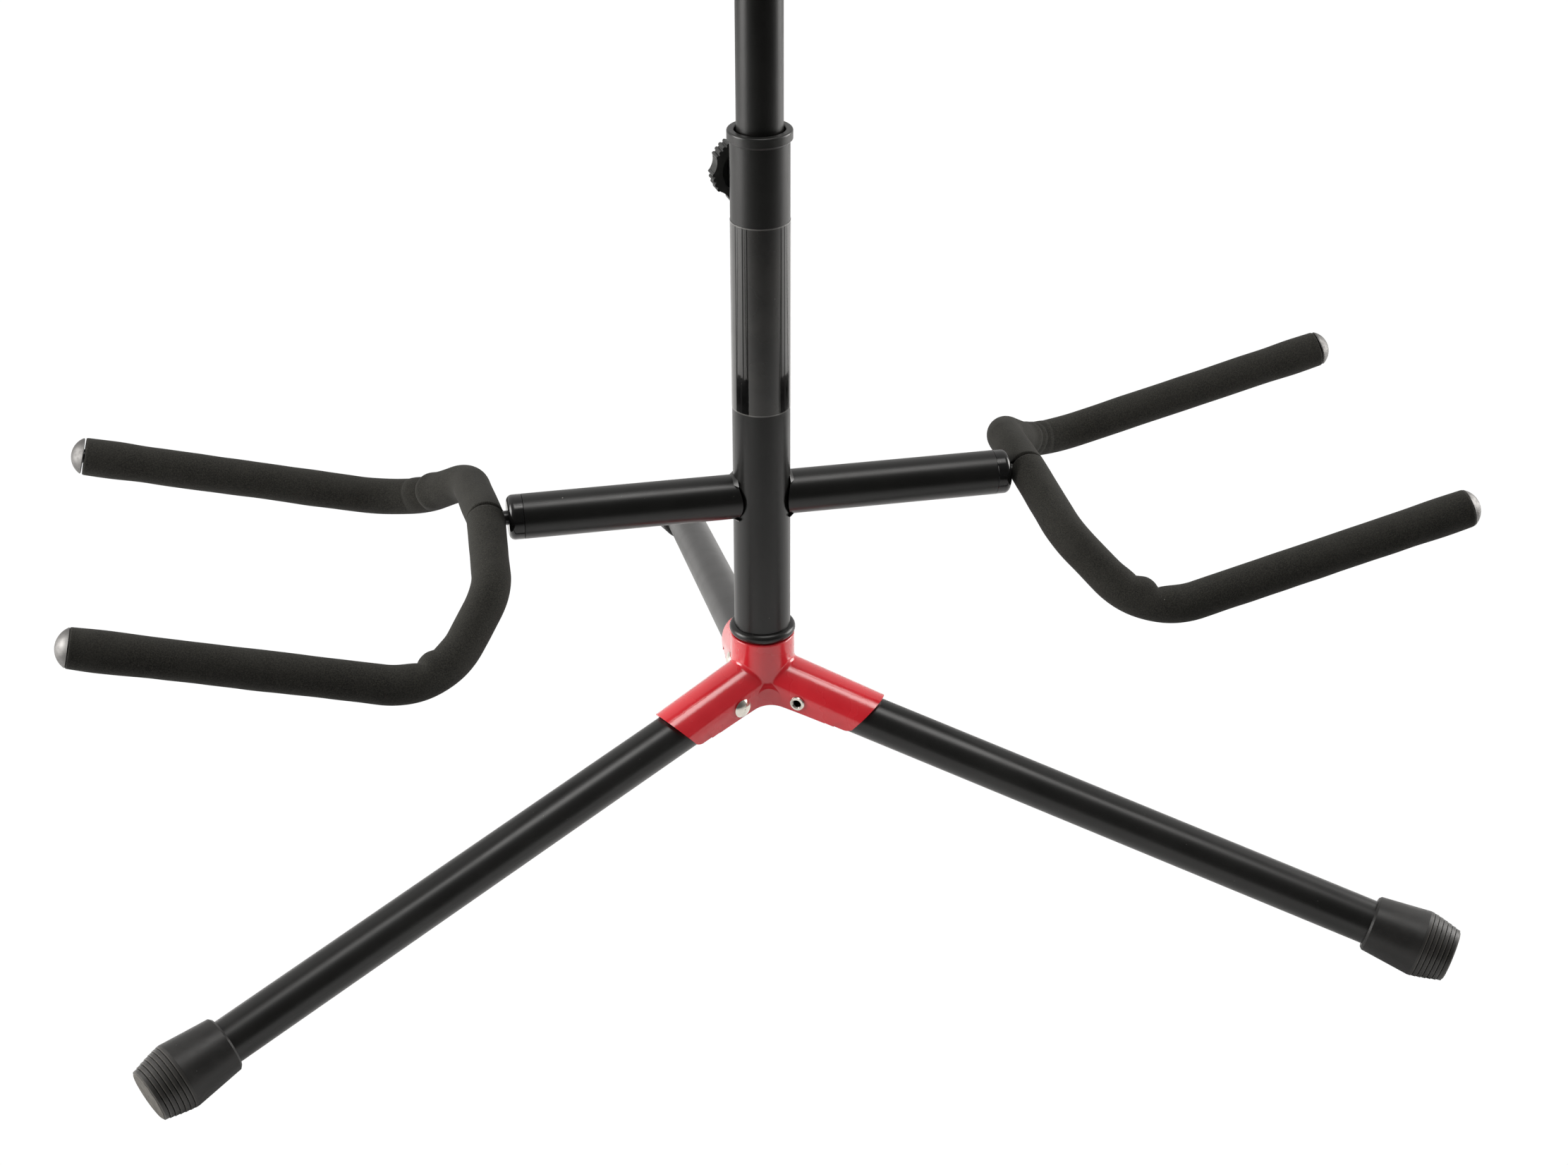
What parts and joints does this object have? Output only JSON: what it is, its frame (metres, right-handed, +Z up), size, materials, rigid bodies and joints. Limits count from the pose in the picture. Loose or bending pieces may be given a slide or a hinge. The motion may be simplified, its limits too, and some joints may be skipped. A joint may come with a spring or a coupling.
{
  "type": "double guitar stand",
  "caption": "Folding tripod stand for guitars: fixed mast with a cross tube, swinging foam-covered body yokes, telescoping upper mast with neck yokes, and a clamp knob.",
  "frame": {"origin": "on the floor, in the middle of the opened stand's bounding box; the mast axis stands at x = 0, y = -90.55 mm", "axes": "+X along the cross tube towards the right-hand yoke, +Y towards the single rear leg, +Z up along the mast"},
  "size_m": [0.7564, 0.6354, 0.7205],
  "materials": {
    "hub_enamel": "glossy red enamel",
    "black_satin": "satin black powder coat",
    "black_rod": "satin black",
    "label_film": "glossy printed wrap, left blank",
    "bush_plastic": "semi-gloss moulded nylon",
    "knob_plastic": "moulded, slightly worn",
    "cap_plastic": "polished moulding",
    "nylon": "natural nylon",
    "zinc_steel": "zinc plated",
    "rivet_nickel": "nickel plated",
    "dome_nickel": "satin plated",
    "foam": "closed-cell foam skin",
    "foot_rubber": "moulded rubber"
  },
  "bodies": {
    "stand": {"tripod_hub": "hub_enamel", "mast_tube": "black_satin", "mast_label": "label_film", "collar_bush": "bush_plastic", "clamp_nut": "black_satin", "cross_tube_left": "black_satin", "cross_tube_right": "black_satin", "cross_tube_welds": "black_satin", "cross_cap_left": "cap_plastic", "cross_cap_right": "cap_plastic", "leg_rivets": "rivet_nickel"},
    "clamp_pad": {"clamp_pad": "nylon"},
    "clamp_knob": {"clamp_knob": "knob_plastic", "clamp_screw": "zinc_steel"},
    "mast_guide": {"guide_sleeve": "nylon"},
    "upper_mast": {"upper_tube": "black_satin", "neck_bar": "black_satin", "neck_bar_weld": "black_satin", "neck_cap_left": "cap_plastic", "neck_cap_right": "cap_plastic"},
    "yoke_left": {"yoke_rod_left": "black_rod", "yoke_end_caps_left": "dome_nickel", "yoke_washer_left": "zinc_steel", "yoke_clip_left": "zinc_steel", "yoke_foam_left_front": "foam", "yoke_foam_left_rear": "foam"},
    "yoke_right": {"yoke_rod_right": "black_rod", "yoke_end_caps_right": "dome_nickel", "yoke_washer_right": "zinc_steel", "yoke_clip_right": "zinc_steel", "yoke_foam_right_front": "foam", "yoke_foam_right_rear": "foam"},
    "neck_left": {"neck_rod_left": "black_rod", "neck_end_caps_left": "dome_nickel", "neck_washer_left": "zinc_steel", "neck_clip_left": "zinc_steel", "neck_foam_left_front": "foam", "neck_foam_left_rear": "foam"},
    "neck_right": {"neck_rod_right": "black_rod", "neck_end_caps_right": "dome_nickel", "neck_washer_right": "zinc_steel", "neck_clip_right": "zinc_steel", "neck_foam_right_front": "foam", "neck_foam_right_rear": "foam"},
    "leg_1": {"leg_tube_1": "black_satin", "leg_foot_1": "foot_rubber"},
    "leg_2": {"leg_tube_2": "black_satin", "leg_foot_2": "foot_rubber"},
    "leg_3": {"leg_tube_3": "black_satin", "leg_foot_3": "foot_rubber"}
  },
  "joints": [
    {"name": "clamp_pad_slide", "type": "slide", "parent": "stand", "child": "clamp_pad", "axis": [-0.1219, 0.9925, 0], "range_m": [0, 0.002]},
    {"name": "knob_turn", "type": "hinge", "parent": "clamp_pad", "child": "clamp_knob", "pos_m": [0, -0.09055, 0.409], "axis": [-0.1219, 0.9925, 0], "range_deg": [0, 540]},
    {"name": "mast_slide", "type": "slide", "parent": "stand", "child": "mast_guide", "axis": [0, 0, 1], "range_m": [-0.175, 0.06]},
    {"name": "mast_turn", "type": "hinge", "parent": "mast_guide", "child": "upper_mast", "pos_m": [0, -0.09055, 0.69], "axis": [0, 0, 1], "continuous": true},
    {"name": "yoke_swing_left", "type": "hinge", "parent": "stand", "child": "yoke_left", "pos_m": [-0.154, -0.09055, 0.2272], "axis": [1, 0, 0], "continuous": true},
    {"name": "yoke_swing_right", "type": "hinge", "parent": "stand", "child": "yoke_right", "pos_m": [0.154, -0.09055, 0.2272], "axis": [1, 0, 0], "continuous": true},
    {"name": "neck_swing_left", "type": "hinge", "parent": "upper_mast", "child": "neck_left", "pos_m": [-0.0805, -0.09055, 0.69], "axis": [1, 0, 0], "continuous": true},
    {"name": "neck_swing_right", "type": "hinge", "parent": "upper_mast", "child": "neck_right", "pos_m": [0.0805, -0.09055, 0.69], "axis": [1, 0, 0], "continuous": true},
    {"name": "leg_fold_1", "type": "hinge", "parent": "stand", "child": "leg_1", "pos_m": [0.00094, -0.06357, 0.104], "axis": [-0.9994, 0.0349, 0], "range_deg": [0, 75]},
    {"name": "leg_fold_2", "type": "hinge", "parent": "stand", "child": "leg_2", "pos_m": [-0.02384, -0.10323, 0.104], "axis": [0.4695, -0.8829, 0], "range_deg": [0, 75]},
    {"name": "leg_fold_3", "type": "hinge", "parent": "stand", "child": "leg_3", "pos_m": [0.0229, -0.10486, 0.104], "axis": [0.5299, 0.848, 0], "range_deg": [0, 75]}
  ],
  "couplings": [
    {"joint": "clamp_pad_slide", "follows": "knob_turn", "m_per_rad": 0.00019894}
  ]
}
